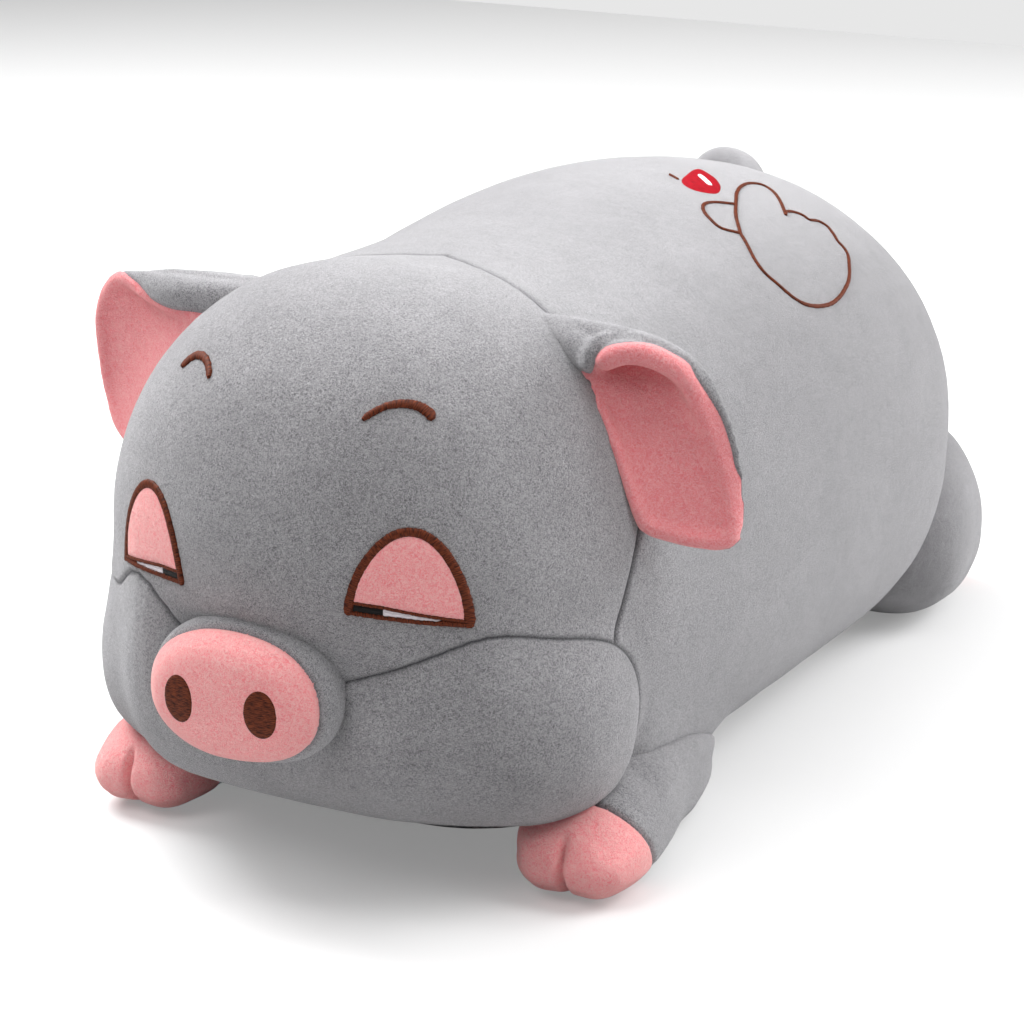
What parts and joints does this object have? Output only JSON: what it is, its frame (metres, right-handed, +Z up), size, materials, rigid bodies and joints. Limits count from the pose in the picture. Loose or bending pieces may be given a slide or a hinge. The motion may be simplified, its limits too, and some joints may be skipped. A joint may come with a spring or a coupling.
{
  "type": "plush pig pillow",
  "caption": "Stuffed plush pig that lies on its belly as a long bolster pillow, with a rounded snout, soft ears, short legs and a stubby tail.",
  "frame": {"origin": "on the floor under the middle of the whole pillow", "axes": "+Y from the snout towards the tail, +Z up, +X towards the pig's left side"},
  "size_m": [0.314, 0.5457, 0.244],
  "materials": {
    "grey_plush": "short dense pile",
    "pink_plush": "short dense pile",
    "brown_thread": "satin stitch",
    "black_thread": "satin stitch",
    "white_thread": "satin stitch",
    "red_thread": "satin stitch",
    "white_fibre": "loose fibre fill"
  },
  "bodies": {
    "pillow": {"torso_cover": "grey_plush", "head_cover": "grey_plush", "muzzle_cover": "grey_plush", "body_stuffing": "white_fibre", "snout_band": "grey_plush", "snout_face": "pink_plush", "snout_stuffing": "white_fibre", "eye_border_left": "brown_thread", "eyelid_left": "pink_plush", "eye_black_left": "black_thread", "eye_white_left": "white_thread", "brow_left": "brown_thread", "nostril_left": "brown_thread", "eye_border_right": "brown_thread", "eyelid_right": "pink_plush", "eye_black_right": "black_thread", "eye_white_right": "white_thread", "brow_right": "brown_thread", "nostril_right": "brown_thread", "hand_outline": "brown_thread", "heart_red": "red_thread", "heart_highlight": "white_thread"},
    "ear_left": {"ear_back_left": "grey_plush", "ear_lining_left": "pink_plush"},
    "ear_right": {"ear_back_right": "grey_plush", "ear_lining_right": "pink_plush"},
    "front_leg_left": {"front_leg_left_cover": "grey_plush", "front_leg_left_trotter": "pink_plush", "front_leg_left_stuffing": "white_fibre"},
    "front_leg_right": {"front_leg_right_cover": "grey_plush", "front_leg_right_trotter": "pink_plush", "front_leg_right_stuffing": "white_fibre"},
    "hind_leg_left": {"hind_leg_left_cover": "grey_plush", "hind_leg_left_trotter": "pink_plush", "hind_leg_left_stuffing": "white_fibre"},
    "hind_leg_right": {"hind_leg_right_cover": "grey_plush", "hind_leg_right_trotter": "pink_plush", "hind_leg_right_stuffing": "white_fibre"},
    "tail": {"tail_cover": "grey_plush", "tail_stuffing": "white_fibre"}
  },
  "joints": [
    {"name": "ear_left_seam", "type": "hinge", "parent": "pillow", "child": "ear_left", "pos_m": [0.091, -0.1345, 0.19], "axis": [0.5575, -0.2118, -0.8027], "range_deg": [-30, 30], "stiffness_Nm_per_rad": 0.02},
    {"name": "ear_right_seam", "type": "hinge", "parent": "pillow", "child": "ear_right", "pos_m": [-0.091, -0.1345, 0.19], "axis": [-0.5575, -0.2118, -0.8027], "range_deg": [-30, 30], "stiffness_Nm_per_rad": 0.02},
    {"name": "front_leg_left_seam", "type": "hinge", "parent": "pillow", "child": "front_leg_left", "pos_m": [0.105, -0.074, 0], "axis": [0, 0, 1], "range_deg": [0, 20], "stiffness_Nm_per_rad": 0.3},
    {"name": "front_leg_right_seam", "type": "hinge", "parent": "pillow", "child": "front_leg_right", "pos_m": [-0.092, -0.078, 0], "axis": [0, 0, 1], "range_deg": [-20, 0], "stiffness_Nm_per_rad": 0.3},
    {"name": "hind_leg_left_seam", "type": "hinge", "parent": "pillow", "child": "hind_leg_left", "pos_m": [0.093, 0.213, 0], "axis": [0, 0, 1], "range_deg": [-20, 0], "stiffness_Nm_per_rad": 0.3},
    {"name": "hind_leg_right_seam", "type": "hinge", "parent": "pillow", "child": "hind_leg_right", "pos_m": [-0.093, 0.213, 0], "axis": [0, 0, 1], "range_deg": [0, 20], "stiffness_Nm_per_rad": 0.3},
    {"name": "tail_seam", "type": "hinge", "parent": "pillow", "child": "tail", "pos_m": [0.00105, 0.2215, 0.20097], "axis": [0, 0, 1], "range_deg": [-20, 20], "stiffness_Nm_per_rad": 0.01}
  ]
}
